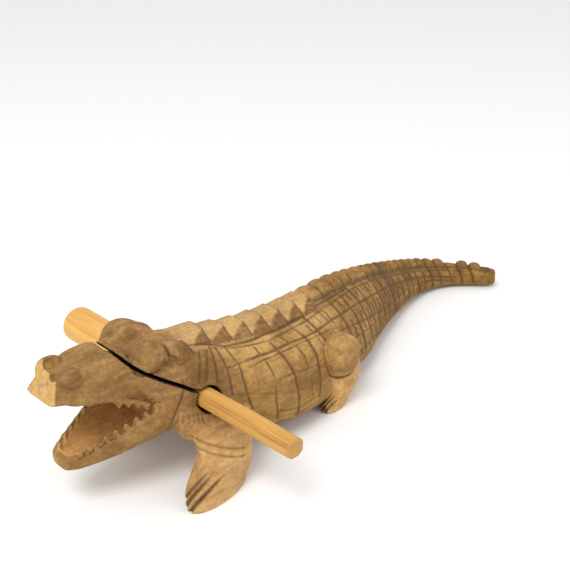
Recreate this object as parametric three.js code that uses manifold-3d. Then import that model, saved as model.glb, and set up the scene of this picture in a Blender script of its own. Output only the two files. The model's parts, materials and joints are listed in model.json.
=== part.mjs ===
// A crocodile rasp: a percussion toy carved from one block of wood, with a loose beater stored in the
// hole bored through its cheeks. Millimetres, +Z up. The head points along -X and the hole runs nearly along Y.
// The shape is worked out in the head's own frame, with x = 0 at the hole and z = 0 on the floor,
// and the finished group is then moved so that its bounding box stands centred on the origin.
import * as THREE from "three";
import { mergeVertices } from "three/addons/utils/BufferGeometryUtils.js";
import Module from "manifold-3d";

// The hole through the cheeks, and the saw slot that runs from it up and forwards to the forehead.
const BORE_RADIUS = 6.8;
const BORE_MIDDLE = [0.5, 0, 47.6];
const BORE_TILT = 2.3; // degrees, the club's end up
const BORE_SKEW = 3; // degrees, the handle's end towards the tail
const SLOT_WIDTH = 2;
const SLOT_LINE = [[-2, 51], [-12, 56], [-21, 61.5], [-31, 70], [-38, 79], [-42, 87]];
const CUT_REACH = 50;

// The beater: an eight-sided handle that swells into a round club. Distances run from the handle's end.
const HANDLE_RADIUS = 5.3;
const HANDLE_CHAMFER = 1.2;
const HANDLE_LENGTH = 121;
const CLUB_SHOULDER = 9; // the length over which the handle swells into the club
const CLUB_RADIUS = 10;
const CLUB_ROUNDING = 4;
const BEATER_LENGTH = 172.4;
const HANDLE_PROUD = 59.2; // how far the handle's end stands out of the cheek
const CHEEK = 29; // half the head's width at the hole

// How the spine turns in plan: [distance along it from the hole, heading in degrees].
const HEADING = [
  [-90, 0], [0, 0], [40, 5.5], [75, 9], [105, 14], [150, 17], [200, 17.5], [240, 13.5], [264, 5], [290, -18],
  [312, -42], [335, -56],
];
const SPINE_STEP = 1;

// Sections. Each row is [station, half width, bottom, widest height, top, squareness above, below].
const TRUNK = [
  [-34, 17, 58, 66, 76, 2.6, 2.6],
  [-22, 22, 40, 58, 77, 2.4, 2.4],
  [-8, 27, 26, 47, 76, 2.2, 2.2],
  [8, 30, 20, 42, 72, 2, 2.2],
  [26, 32, 13, 34, 68, 2, 2.2],
  [48, 36, 6, 23, 63.5, 2, 2.3],
  [76, 36, 4, 18, 61, 2, 2.4],
  [106, 31, 4, 17, 59, 1.9, 2.4],
  [140, 28.5, 4, 16, 55.5, 1.8, 2.4],
  [170, 22, 3.5, 14, 49, 1.8, 2.4],
  [200, 17.5, 3, 13, 42, 1.8, 2.4],
  [228, 14, 2, 11, 34.5, 1.9, 2.4],
  [258, 11, 1.5, 9, 26.5, 2, 2.4],
  [290, 8.8, 1, 8, 18.5, 2.3, 2.4],
  [322, 7.2, 1, 7, 14, 2.6, 2.6],
  [334, 5.6, 2, 7, 12.5, 2.4, 2.4],
];
const TRUNK_SIDES = 24;
const TRUNK_STEP = 7;

const UPPER_JAW = [
  [-74, 11, 61, 66, 75, 4, 6],
  [-66, 13, 60, 67, 75.5, 3.4, 6],
  [-54, 14, 58, 66, 77, 2.8, 6],
  [-42, 17, 54, 64, 79.5, 2.6, 6],
  [-30, 20.5, 50.5, 60, 78.5, 2.6, 6],
  [-20, 23.5, 47, 56, 78, 2.5, 5],
  [-8, 27, 40, 50, 76, 2.3, 3],
];
const LOWER_JAW = [
  [-67, 6.5, 23, 27, 29.5, 6, 3],
  [-62, 10, 22, 29, 32.5, 6, 2.6],
  [-54, 13.5, 22, 31, 36, 6, 2.4],
  [-44, 17, 22.5, 34, 40, 6, 2.3],
  [-32, 20.5, 24, 38, 45, 6, 2.3],
  [-22, 23, 26, 42, 49, 5, 2.3],
  [-8, 26, 27, 44, 54, 3, 2.3],
];
const JAW_SIDES = 20;
const JAW_STEP = 6;
const JAW_WALL = 3.2;
const JAW_FLOOR = 5;
const GULLET = -17; // the mouth's inner end

// The rasp: large saw teeth across the back, then knobs that shrink along the tail.
const RASP = { from: 18, to: 118, pitch: 16.5, height: 7.5, halfWidth: 11, crestHalfWidth: 5.5, seat: 3 };
const KNOBS = { from: 118, to: 330, firstPitch: 13, lastPitch: 8, firstHeight: 5, lastHeight: 2.6 };
const KNOB_HALF_WIDTHS = [[118, 7.5], [170, 5.5], [230, 4.4], [330, 3]];

// Teeth cut into the jaws' edges, from the front backwards.
const LOWER_TEETH = { from: -61, to: -26, count: 8, gap: 2.6, depth: 3.4 };
const UPPER_TEETH = { from: -56, to: -26, count: 7, gap: 2.6, depth: 2.4 };

// Limbs, as level sections from the top down: [height, station, sideways, half length, half thickness].
const FRONT_LEG = [
  [38, 9, 24, 18.5, 9],
  [29, 7, 31.5, 18.5, 12],
  [22, 5.5, 35.5, 17.5, 11.5],
  [15, 1.5, 38, 21, 10.5],
  [8, -2.5, 39.5, 22.5, 10],
  [3, -4, 40, 21.5, 9.5],
  [-2, -4.5, 40, 20, 9],
];
const HIND_LEG = [
  [33, 104, 28, 9, 8],
  [26, 107, 29, 12.5, 8.5],
  [17, 107, 29.5, 15.5, 9],
  [9, 104, 29, 17, 8.5],
  [3, 101, 27.5, 16.5, 8],
  [-2, 100.5, 27, 15.5, 7.5],
];
const SPLAY = 0.2; // how far the toes turn out, as sideways run over length
const LIMB_SIDES = 16;
const LIMB_LEVELS = 9;
const TOE_GROOVES = { angles: [125, 150, 175], width: 7, from: -1, to: 15, depth: 0.14 };
const THIGH = { at: [95, 32, 34], radii: [13, 10.5, 13] };
const EYE = { at: [-16, 13, 72], radii: [17, 8, 9] };
const NOSTRIL = { at: [-65.5, 8, 73], radii: [7, 4.5, 5.5] };
const BALL_SIDES = 14;

const WOOD = new THREE.MeshStandardMaterial({ color: 0xa07c4e, roughness: 0.72, metalness: 0 });
const PALE_WOOD = new THREE.MeshStandardMaterial({ color: 0xe0aa5c, roughness: 0.55, metalness: 0 });

const wasm = await Module();
wasm.setup();

const radians = THREE.MathUtils.degToRad;
const range = (count) => [...Array(count).keys()];

// A table's row at a station between its rows, on a smooth curve through them.
function along(table, station) {
  const last = table.length - 1;
  const s = THREE.MathUtils.clamp(station, table[0][0], table[last][0]);
  const k = Math.min(last - 1, table.filter((row) => row[0] <= s).length - 1);
  const span = table[k + 1][0] - table[k][0];
  const t = (s - table[k][0]) / span;
  const slope = (i, column) => {
    const [a, b] = [table[Math.max(0, i - 1)], table[Math.min(last, i + 1)]];
    return (span * (b[column] - a[column])) / (b[0] - a[0]);
  };
  return table[k].map((value, c) =>
    (2 * t ** 3 - 3 * t ** 2 + 1) * value + (t ** 3 - 2 * t ** 2 + t) * slope(k, c) +
    (3 * t ** 2 - 2 * t ** 3) * table[k + 1][c] + (t ** 3 - t ** 2) * slope(k + 1, c));
}

// The spine's plan line as rows [station, x, y, heading], walked from the straight head to the tail's tip.
function walkSpine() {
  const rows = [];
  let [x, y] = [HEADING[0][0], 0];
  for (let s = HEADING[0][0]; s <= HEADING.at(-1)[0]; s += SPINE_STEP) {
    const heading = radians(along(HEADING, s)[1]);
    rows.push([s, x, y, heading]);
    x += SPINE_STEP * Math.cos(heading);
    y += SPINE_STEP * Math.sin(heading);
  }
  return rows;
}
const spine = walkSpine();

// The place of a point given by its station along the spine, its distance to the right of it, and its height.
function place(station, sideways, height) {
  const [, x, y, heading] = along(spine, station);
  return new THREE.Vector3(x - sideways * Math.sin(heading), y + sideways * Math.cos(heading), height);
}

// One closed skin over rings of points that all have the same count, with flat ends.
function loft(rings) {
  const count = rings[0].length;
  const points = rings.flat();
  const faces = [];
  range(rings.length - 1).forEach((r) => range(count).forEach((i) => {
    const [a, b] = [r * count + i, r * count + ((i + 1) % count)];
    faces.push(a, b, b + count, a, b + count, a + count);
  }));
  const end = (ring, turn) => {
    const hub = points.length;
    const middle = new THREE.Vector3();
    rings[ring].forEach((p) => middle.addScaledVector(p, 1 / count));
    points.push(middle);
    range(count).forEach((i) => {
      const edge = [ring * count + i, ring * count + ((i + 1) % count)];
      faces.push(hub, ...(turn ? edge.reverse() : edge));
    });
  };
  end(0, true);
  end(rings.length - 1, false);
  return new THREE.BufferGeometry().setFromPoints(points).setIndex(faces);
}

// A geometry as a solid, turned inside out first if its faces point inwards.
function solid(geometry) {
  const bare = geometry.clone();
  bare.deleteAttribute("normal");
  bare.deleteAttribute("uv");
  const merged = mergeVertices(bare, 1e-4);
  const triVerts = new Uint32Array(merged.index.array);
  const vertProperties = merged.attributes.position.array;
  const make = () => new wasm.Manifold(new wasm.Mesh({ numProp: 3, vertProperties, triVerts }));
  const made = make();
  if (made.volume() > 0) return made;
  for (let i = 0; i < triVerts.length; i += 3) {
    [triVerts[i], triVerts[i + 1]] = [triVerts[i + 1], triVerts[i]];
  }
  return make();
}

const union = (solids) => solids.reduce((a, b) => a.add(b));
const cut = (body, cutters) => body.subtract(union(cutters));

// A rounded section: its half width, bottom, widest height and top, and how square it is above and below.
function section(station, [halfWidth, bottom, widest, top, above, below], sides) {
  return range(sides).map((i) => {
    const angle = (2 * Math.PI * (i + 0.5)) / sides;
    const [c, s] = [Math.cos(angle), Math.sin(angle)];
    const power = 2 / (s > 0 ? above : below);
    const reach = s > 0 ? top - widest : widest - bottom;
    return place(station, halfWidth * Math.sign(c) * Math.abs(c) ** power,
      widest + reach * Math.sign(s) * Math.abs(s) ** power);
  });
}

function loftTable(table, sides, step, change = (row) => row) {
  const [from, to] = [table[0][0], table.at(-1)[0]];
  const count = Math.round((to - from) / step);
  const stations = range(count + 1).map((i) => from + ((to - from) * i) / count);
  return solid(loft(stations.map((s) => section(s, change(along(table, s).slice(1)), sides))));
}

// A point at a height and an angle round a limb, where 90 degrees faces out and 180 towards the head.
// A swell of 1 puts it on the limb's skin, and less puts it inside.
function onLimb(table, side, height, angle, swell = 1) {
  const byDepth = table.map(([level, ...rest]) => [-level, ...rest]);
  const [, station, sideways, halfLength, halfThickness] = along(byDepth, -height);
  const forwards = swell * halfLength * Math.cos(radians(angle));
  const outwards = sideways + swell * halfThickness * Math.sin(radians(angle)) - SPLAY * forwards;
  return place(station + forwards, side * outwards, height);
}

// A limb on one side of the body, from its level sections.
function limb(table, side) {
  const [top, bottom] = [table[0][0], table.at(-1)[0]];
  return solid(loft(range(LIMB_LEVELS + 1).map((i) => {
    const height = THREE.MathUtils.lerp(top, bottom, i / LIMB_LEVELS);
    return range(LIMB_SIDES).map((k) => onLimb(table, side, height, (360 * k) / LIMB_SIDES));
  })));
}

// The V-grooves that part the toes. They follow the limb's skin upwards and run out at their top.
function toeGrooves(table, side) {
  const { angles, width, from, to, depth } = TOE_GROOVES;
  return angles.map((angle) => solid(loft(range(5).map((i) => {
    const height = THREE.MathUtils.lerp(from, to, i / 4);
    const share = 1 - (0.9 * i) / 4;
    return [[-width, 1], [0, 1 - depth], [width, 1], [0, 1 + depth]].map(([turn, swell]) =>
      onLimb(table, side, height, angle + turn * share, 1 + (swell - 1) * share));
  }))));
}

function ball({ at: [station, sideways, height], radii }, side) {
  const centre = place(station, side * sideways, height);
  const heading = along(spine, station)[3];
  const geometry = new THREE.SphereGeometry(1, BALL_SIDES, BALL_SIDES / 2).scale(...radii);
  return solid(geometry.rotateZ(heading).translate(centre.x, centre.y, centre.z));
}

// One tooth of the rasp, or one knob: it rises from a seat sunk in the back to a crest that is level
// from the share riseEnd to the share fallStart of its length.
function tooth(start, length, riseEnd, fallStart, height, halfWidth, crestHalfWidth, seat) {
  const rings = [[0, 0], [riseEnd, 1], [fallStart, 1], [1, 0]].filter(([share], i, all) =>
    i === 0 || share > all[i - 1][0]);
  return solid(loft(rings.map(([share, up]) => {
    const station = start + share * length;
    const base = along(TRUNK, station)[4] - seat;
    const crest = up ? crestHalfWidth : halfWidth * 0.9;
    const peak = base + seat * 0.4 + up * height;
    return [[-halfWidth, base - 4], [halfWidth, base - 4], [halfWidth, base], [crest, peak],
      [-crest, peak], [-halfWidth, base]].map(([sideways, z]) => place(station, sideways, z));
  })));
}

function rasp() {
  const count = Math.round((RASP.to - RASP.from) / RASP.pitch);
  const length = (RASP.to - RASP.from) / count;
  return range(count).map((i) => tooth(RASP.from + i * length, length, 0.82, 0.9, RASP.height,
    RASP.halfWidth, RASP.crestHalfWidth, RASP.seat));
}

function knobs() {
  const made = [];
  for (let s = KNOBS.from; s < KNOBS.to - KNOBS.lastPitch / 2;) {
    const share = (s - KNOBS.from) / (KNOBS.to - KNOBS.from);
    const pitch = THREE.MathUtils.lerp(KNOBS.firstPitch, KNOBS.lastPitch, share);
    const height = THREE.MathUtils.lerp(KNOBS.firstHeight, KNOBS.lastHeight, share);
    const halfWidth = along(KNOB_HALF_WIDTHS, s)[1];
    made.push(tooth(s, pitch * 0.97, 0.3, 0.7, height, halfWidth, halfWidth * 0.6, 1.5));
    s += pitch;
  }
  return made;
}

// A flat outline in the x-z plane, run from side to side of the head.
function slabAcross(outline, reach) {
  const shape = new THREE.Shape(outline.map(([x, z]) => new THREE.Vector2(x, z)));
  const slab = new THREE.ExtrudeGeometry(shape, { depth: 2 * reach, bevelEnabled: false });
  return solid(slab.rotateX(Math.PI / 2).translate(0, reach, 0));
}

function slot() {
  const line = new THREE.SplineCurve(SLOT_LINE.map(([x, z]) => new THREE.Vector2(x, z)));
  const points = line.getPoints(10);
  const side = (sign) => points.map((p, i) => {
    const along = line.getTangent(i / 10);
    return [p.x - (sign * along.y * SLOT_WIDTH) / 2, p.y + (sign * along.x * SLOT_WIDTH) / 2];
  });
  return slabAcross([...side(1), ...side(-1).reverse()], CUT_REACH);
}

function bore() {
  const drill = new THREE.CylinderGeometry(BORE_RADIUS, BORE_RADIUS, 2 * CUT_REACH, 32);
  return solid(drill.rotateX(radians(BORE_TILT)).rotateZ(radians(BORE_SKEW)).translate(...BORE_MIDDLE));
}

// The scoop inside the lower jaw: the same sections, drawn in by the wall and open at the top.
function scoop() {
  const inner = LOWER_JAW.filter(([s]) => s > -65 && s < GULLET);
  return loftTable(inner, JAW_SIDES, JAW_STEP, ([halfWidth, bottom, , top, above, below]) =>
    [halfWidth - JAW_WALL, bottom + JAW_FLOOR, top + 1, top + 6, above, below]);
}

// Notches across a jaw's edge on both sides: pointed boxes turned with the jaw's side.
function notches(teeth, table, edgeColumn, direction) {
  const step = (teeth.to - teeth.from) / (teeth.count - 1);
  return range(teeth.count).flatMap((i) => [-1, 1].map((side) => {
    const station = teeth.from + i * step;
    const row = along(table, station);
    const notch = new THREE.CylinderGeometry(teeth.gap / 2, teeth.gap / 2, 2 * JAW_WALL + 3, 4);
    notch.scale(1, 1, (2 * teeth.depth) / teeth.gap);
    notch.translate(station, side * (row[1] - JAW_WALL / 2 + 0.5), row[edgeColumn] + direction * 0.4);
    return solid(notch);
  }));
}

function crocodile() {
  const both = (make) => [-1, 1].flatMap(make);
  const carved = union([
    loftTable(TRUNK, TRUNK_SIDES, TRUNK_STEP),
    loftTable(UPPER_JAW, JAW_SIDES, JAW_STEP),
    loftTable(LOWER_JAW, JAW_SIDES, JAW_STEP),
    ...both((side) => limb(FRONT_LEG, side)),
    ...both((side) => limb(HIND_LEG, side)),
    ...both((side) => ball(THIGH, side)),
    ...both((side) => ball(EYE, side)),
    ...both((side) => ball(NOSTRIL, side)),
    ...rasp(),
    ...knobs(),
  ]);
  const floor = new THREE.BoxGeometry(600, 300, 20).translate(100, 0, -10);
  return cut(carved, [bore(), slot(), scoop(), solid(floor),
    ...notches(LOWER_TEETH, LOWER_JAW, 4, 1), ...notches(UPPER_TEETH, UPPER_JAW, 2, -1),
    ...both((side) => toeGrooves(FRONT_LEG, side)), ...both((side) => toeGrooves(HIND_LEG, side))]);
}

// The beater along +Y, its handle's end at y = 0.
function beater() {
  const turned = (profile, sides) => {
    const points = profile.map(([radius, y]) => new THREE.Vector2(radius, y));
    return solid(new THREE.LatheGeometry(points, sides, Math.PI / sides));
  };
  const corner = HANDLE_RADIUS / Math.cos(Math.PI / 8);
  const handle = turned([[0, 0], [corner - HANDLE_CHAMFER, 0], [corner, HANDLE_CHAMFER],
    [corner, HANDLE_LENGTH + CLUB_SHOULDER / 4], [0, HANDLE_LENGTH + CLUB_SHOULDER / 4]], 8);
  const rounded = range(6).map((i) => {
    const angle = (Math.PI / 2) * (i / 5);
    return [CLUB_RADIUS - CLUB_ROUNDING * (1 - Math.cos(angle)), BEATER_LENGTH - CLUB_ROUNDING * (1 - Math.sin(angle))];
  });
  const shoulder = HANDLE_LENGTH + CLUB_SHOULDER;
  const club = turned([[0, HANDLE_LENGTH], [HANDLE_RADIUS, HANDLE_LENGTH], [CLUB_RADIUS, shoulder],
    ...rounded, [0, BEATER_LENGTH]], 28);
  return handle.add(club);
}

function mesh(name, body, material) {
  const { vertProperties, triVerts, numProp } = body.getMesh();
  const geometry = new THREE.BufferGeometry();
  const positions = new THREE.InterleavedBuffer(vertProperties, numProp);
  geometry.setAttribute("position", new THREE.InterleavedBufferAttribute(positions, 3, 0));
  geometry.setIndex(new THREE.BufferAttribute(triVerts, 1));
  geometry.computeVertexNormals();
  const made = new THREE.Mesh(geometry, material);
  made.name = name;
  return made;
}

const body = mesh("carved_crocodile", crocodile(), WOOD);
const stick = mesh("beater", beater(), PALE_WOOD);
// The beater lies along its own +Y: tipped first, then swung about the vertical.
stick.rotation.set(radians(BORE_TILT), 0, radians(BORE_SKEW), "ZXY");
stick.position.set(0, -(CHEEK + HANDLE_PROUD), 0).applyEuler(stick.rotation);
stick.position.add(new THREE.Vector3(...BORE_MIDDLE));

const toy = new THREE.Group().add(body, stick);
const box = new THREE.Box3().setFromObject(toy, true);
const middle = box.getCenter(new THREE.Vector3());
toy.position.set(-middle.x, -middle.y, -box.min.z);

export default toy;
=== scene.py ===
"""Looks for the crocodile rasp and its beater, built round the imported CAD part.

The carving is a distance field in the straightened block: s along the spine from the hole, w to the side,
z up, all in millimetres. The field is meshed, then bent along the spine into the row frame, in metres.
"""

import json
import math

import bpy
import numpy as np
import openvdb
from mathutils import Matrix, Vector


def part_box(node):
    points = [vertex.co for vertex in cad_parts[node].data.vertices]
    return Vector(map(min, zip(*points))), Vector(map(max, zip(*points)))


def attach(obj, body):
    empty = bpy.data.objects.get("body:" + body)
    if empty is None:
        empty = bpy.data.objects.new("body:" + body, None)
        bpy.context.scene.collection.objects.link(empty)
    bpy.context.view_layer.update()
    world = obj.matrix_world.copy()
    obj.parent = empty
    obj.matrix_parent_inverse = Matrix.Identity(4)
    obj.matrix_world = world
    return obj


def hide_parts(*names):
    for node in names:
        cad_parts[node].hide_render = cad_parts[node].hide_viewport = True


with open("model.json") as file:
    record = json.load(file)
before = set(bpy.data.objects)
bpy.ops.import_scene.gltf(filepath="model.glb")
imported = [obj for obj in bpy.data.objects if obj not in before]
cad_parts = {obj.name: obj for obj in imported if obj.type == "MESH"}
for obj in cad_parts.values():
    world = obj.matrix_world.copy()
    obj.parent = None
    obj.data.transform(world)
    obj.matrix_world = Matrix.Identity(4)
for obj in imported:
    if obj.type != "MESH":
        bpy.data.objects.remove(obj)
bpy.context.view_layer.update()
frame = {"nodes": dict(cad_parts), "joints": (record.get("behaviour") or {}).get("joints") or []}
MM = 1000  # millimetres in a metre

# The grid the carving is meshed on: a fine cell in mm, and how many of them make a coarse cell's edge.
VOXEL = 0.5
BLOCK = 4
GRID_LOW, GRID_HIGH = (-80.0, -54.0, -3.0), (342.0, 54.0, 92.0)
FIELD_LIMIT = 3.0  # distances are cut off at this many mm
BATCH = 400000  # about how many points are worked out at a time
rng = np.random.default_rng(7)

# The middle of the head at the hole stands this far behind the snout's tip, and this far in from the tail's
# outermost bend.
SNOUT, BEND = 74.02, 64.58
croc_low, croc_high = (np.array(v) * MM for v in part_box("carved_crocodile"))
ORIGIN = np.array([croc_low[0] + SNOUT, croc_high[1] - BEND, 0.0])

# The hole lies along the beater's line of travel, and this is where it crosses the middle of the head (s, z).
BORE_RADIUS, BORE_MIDDLE = 6.8, (0.5, 47.6)
TRAVEL = frame["joints"][0]["axis"]
SLOT_WIDTH = 1.6
SLOT_LINE = [
    (0, 51), (-6.5, 53.8), (-12, 57.4), (-20.5, 62.4), (-28.5, 67.6), (-33, 71.4), (-37, 76), (-41, 81.5),
    (-45, 90),
]

# [distance along the spine, heading in degrees]
HEADING = [
    [-90, 0], [0, 0], [40, 5.5], [75, 9], [105, 14], [150, 17], [200, 17.5], [240, 13.5], [264, 5],
    [290, -18], [312, -42], [335, -56],
]
SPINE_FROM, SPINE_TO, SPINE_STEP = -100, 350, 0.25
# Sections: [station, half width, bottom, widest height, top, squareness above, below]
TRUNK = [
    [-34, 17, 58, 66, 72, 2.6, 2.6],
    [-22, 22, 40, 58, 72.5, 2.2, 2.4],
    [-8, 27, 26, 47, 74.5, 2.1, 2.2],
    [8, 30, 20, 42, 71.5, 2, 2.2],
    [26, 32, 13, 34, 66.5, 2, 2.2],
    [48, 36, 6, 23, 62.5, 2, 2.3],
    [76, 36, 4, 18, 59.5, 2, 2.4],
    [106, 31, 4, 17, 57.5, 1.9, 2.4],
    [140, 28.5, 4, 16, 54, 1.8, 2.4],
    [170, 22, 3.5, 14, 48.5, 1.8, 2.4],
    [200, 17.5, 3, 13, 41.5, 1.8, 2.4],
    [228, 14, 2, 11, 34, 1.9, 2.4],
    [258, 11, 1.5, 9, 26, 2, 2.4],
    [290, 8.8, 1, 8, 18.5, 2.3, 2.4],
    [322, 7.2, 1, 7, 14, 2.6, 2.6],
    [337, 5.6, 2, 7, 12.5, 2.4, 2.4],
]
UPPER_JAW = [
    [-77, 12.6, 64, 68, 77.6, 3.4, 4],
    [-68, 13.2, 61.5, 67, 77.3, 3.2, 4],
    [-60, 14, 58.5, 66, 77.8, 3.2, 6],
    [-52, 15, 57, 65, 79.8, 3, 6],
    [-42, 17.5, 55.5, 64, 79.5, 2.8, 6],
    [-34, 20, 53.5, 62, 77.0, 2.5, 6],
    [-24, 22.5, 48, 59, 72.0, 2.2, 6],
    [-8, 27, 40, 50, 74.2, 2.1, 3],
]
LOWER_JAW = [
    [-68, 6.5, 23, 27, 29.5, 6, 3],
    [-62, 10, 22, 29, 32.5, 6, 2.6],
    [-54, 13.5, 22, 31, 36, 6, 2.4],
    [-44, 17, 22.5, 34, 41, 6, 2.3],
    [-32, 20.5, 24, 38, 47, 6, 2.3],
    [-22, 23, 26, 42, 50.5, 5, 2.3],
    [-8, 26, 27, 44, 54, 3, 2.3],
]
JAW_WALL, JAW_FLOOR, GULLET = 3.4, 5.0, -17.0  # the lower jaw's wall and floor, and the mouth's inner end
# Limbs, from the sole up: [height, station, sideways, half length, half thickness]
FRONT_LEG = [
    [-2, -4.5, 40, 20, 9],
    [3, -4, 40, 21.5, 9.5],
    [8, -2.5, 39.5, 22.5, 10],
    [15, 1.5, 38, 21, 10.5],
    [22, 5.5, 35.5, 17.5, 11.5],
    [29, 7, 31.5, 18.5, 12],
    [38, 9, 24, 18.5, 9],
]
SHOULDER = ((-1.0, 24.0, 34.0), (13.5, 8.0, 11.0))  # fills in above the front leg: (centre, radii)
HIND_LEG = [
    [-2, 100.5, 27, 15.5, 7.5],
    [3, 101, 27.5, 16.5, 8],
    [9, 104, 29, 17, 8.5],
    [17, 107, 29.5, 15.5, 9],
    [26, 107, 29, 12.5, 8.5],
    [33, 104, 28, 9, 8],
]
SPLAY = 0.2  # how far the toes turn out, as sideways run over length
# Toe grooves: the angle round the leg at the sole, its turn per mm of height, and the height each ends at.
TOE_GROOVES = [(177, -4.1, 17), (198, -3.3, 19), (219, -3.6, 20)]
HIND_TOE_DROP = 7  # the hind foot's grooves end this much lower
TOE_MM = 0.26  # mm to one degree round a foot
WRIST_STROKES = [30.8, 26.7]  # heights at station -10

# Grooves along the body: [(station, girth angle), ...], depth, half width. 90 degrees is the top of the
# back, 0 the side's widest line, and below it the angle is negative.
LENGTHWISE = [
    ([(-6, 66), (10, 67), (24, 62), (39, 64), (52, 67), (71, 68), (89, 70), (112, 70), (150, 71)], 1.1, 1.3),
    ([(12, 61), (26, 59), (50, 60), (73, 63), (104, 63), (155, 66), (208, 61), (251, 54), (281, 47),
      (316, 43)], 0.8, 0.9),
    ([(14, 36), (25, 42), (41, 49), (64, 52), (90, 50), (140, 49), (186, 44), (215, 42), (246, 36),
      (276, 24), (305, 6)], 0.9, 1.0),
    ([(27, 36), (40, 44), (54, 47), (76, 48), (100, 44), (118, 38)], 0.7, 0.8),
    ([(-3, 33), (11, 35), (24, 35)], 0.5, 0.8),
    ([(39, 26), (56, 28), (80, 26)], 0.6, 0.9),
    ([(34, 19), (58, 21), (80, 20)], 0.4, 0.8),
    ([(12, 9), (40, 14), (56, 15)], 0.5, 0.8),
    ([(38, -3), (55, 0), (80, 4)], 0.6, 0.9),
    ([(40, -15), (63, -8), (80, -4)], 0.5, 0.9),
    ([(108, 38), (117, 36), (145, 31), (182, 21), (213, 17), (243, 20), (272, 12), (300, -6)], 0.8, 0.9),
    ([(112, 25), (123, 23), (148, 21), (186, 12), (213, 2), (245, -2)], 0.7, 0.9),
    ([(118, 9), (150, 8), (190, -8), (215, -18)], 0.6, 0.9),
]
# Grooves round the body: [(girth angle, station), ...], depth, half width.
CROSSWISE = [
    ([(58, 6), (40, 2), (22, -2)], 0.9, 0.8),
    ([(59, 11), (40, 6), (23, 2)], 0.9, 0.8),
    ([(63, 14), (48, 12), (35, 10), (21, 8)], 1.1, 0.9),
    ([(63, 17), (45, 17), (28, 16), (9, 15)], 1.1, 0.9),
    ([(61, 23), (44, 24)], 1.1, 1.0),
    ([(44, 25), (28, 24), (11, 24), (-6, 27)], 1.1, 0.9),
    ([(58, 40), (49, 41)], 1.0, 0.9),
    ([(43, 42), (27, 43)], 0.9, 0.9),
    ([(22, 42), (9, 41), (-20, 42)], 0.8, 0.8),
    ([(67, 32), (60, 33)], 0.6, 0.8),
    ([(66, 49), (59, 49)], 0.6, 0.8),
    ([(60, 52), (47, 54), (29, 57), (14, 57), (-22, 56)], 1.2, 0.9),
    ([(65, 59), (61, 60)], 0.6, 0.8),
    ([(61, 61), (52, 64)], 0.9, 0.9),
    ([(48, 67), (38, 69), (28, 69)], 0.9, 0.9),
    ([(65, 73), (50, 78), (34, 79), (20, 77), (0, 74)], 1.3, 1.0),
    ([(19, 69), (3, 68)], 0.7, 0.8),
    ([(68, 88), (48, 91), (36, 93)], 1.4, 1.0),
    ([(60, 85), (36, 88)], 0.9, 0.8),
    ([(63, 96), (51, 98)], 0.8, 0.8),
    ([(63, 102), (50, 105)], 0.9, 0.8),
    ([(65, 107), (45, 109)], 1.0, 0.9),
]
TAIL_FROM, TAIL_TO = 104.6, 331.0


def smooth_rows(table, s):
    """Each column of the table on a smooth curve through its rows, at stations s."""
    t = np.asarray(table, float)
    x = t[:, 0]
    before, after = np.maximum(np.arange(len(x)) - 1, 0), np.minimum(np.arange(len(x)) + 1, len(x) - 1)
    slope = (t[after] - t[before]) / (x[after] - x[before])[:, None]
    fine = np.linspace(x[0], x[-1], 2000)
    k = np.clip(np.searchsorted(x, fine, "right") - 1, 0, len(x) - 2)
    span = (x[k + 1] - x[k])[:, None]
    u = (fine[:, None] - x[k][:, None]) / span
    rows = (
        (2 * u**3 - 3 * u**2 + 1) * t[k] + (u**3 - 2 * u**2 + u) * span * slope[k]
        + (3 * u**2 - 2 * u**3) * t[k + 1] + (u**3 - u**2) * span * slope[k + 1]
    )
    return [np.interp(s, fine, rows[:, c]) for c in range(1, t.shape[1])]


def spine_table():
    """The spine in plan: stations, x and y from the hole, and heading in radians."""
    s = np.arange(SPINE_FROM, SPINE_TO, SPINE_STEP)
    heading = np.radians(smooth_rows(HEADING, s)[0])
    x = np.cumsum(np.cos(heading)) * SPINE_STEP
    y = np.cumsum(np.sin(heading)) * SPINE_STEP
    start = np.searchsorted(s, 0)
    return s, x - x[start], y - y[start], heading


SPINE = spine_table()


def bend(p):
    """Straightened block coordinates to the row frame, still in millimetres."""
    s, x, y, h = (np.interp(p[:, 0], SPINE[0], column) for column in SPINE)
    extra = p[:, 0] - s
    out = np.column_stack([x + extra - p[:, 1] * np.sin(h), y + p[:, 1] * np.cos(h), p[:, 2]])
    return out + ORIGIN


def smin(a, b, k):
    """The smaller of a and b, blended over about k mm."""
    h = np.clip(0.5 + 0.5 * (b - a) / k, 0, 1)
    return b * (1 - h) + a * h - k * h * (1 - h)


def smax(a, b, k):
    """The larger of a and b, blended in the same way."""
    return -smin(-a, -b, k)


def fade(x, over):
    """0 up to x = 0, then rising to 1 at x = over."""
    return np.clip(x / over, 0, 1)


def lattice_noise(p, size, seed):
    """Smooth noise from -1 to 1 with features about size mm apart."""
    table = np.random.default_rng(seed).uniform(-1, 1, (32, 32, 32)).astype(np.float32)
    q = p / np.asarray(size, float)
    base = np.floor(q).astype(np.int64)
    f = q - base
    f = (f * f * (3 - 2 * f)).astype(np.float32)
    out = np.zeros(len(p), np.float32)
    for i in range(8):
        step = ((i >> 2) & 1, (i >> 1) & 1, i & 1)
        idx = (base + step) & 31
        weight = np.prod([f[:, c] if step[c] else 1 - f[:, c] for c in range(3)], axis=0)
        out += weight * table[idx[:, 0], idx[:, 1], idx[:, 2]]
    return out


def superellipse(table, s, w, z):
    """Distance to the skin that runs through a table of sections."""
    hw, bottom, widest, top, above, below = smooth_rows(table, s)
    up = z > widest
    reach = np.where(up, top - widest, widest - bottom)
    p = np.where(up, above, below)
    a, b = np.abs(w) / hw + 1e-6, np.abs(z - widest) / reach + 1e-6
    f = (a**p + b**p) ** (1 / p)
    gradient = np.hypot((a / f) ** (p - 1) / hw, (b / f) ** (p - 1) / reach)
    return (f - 1) / gradient


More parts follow.
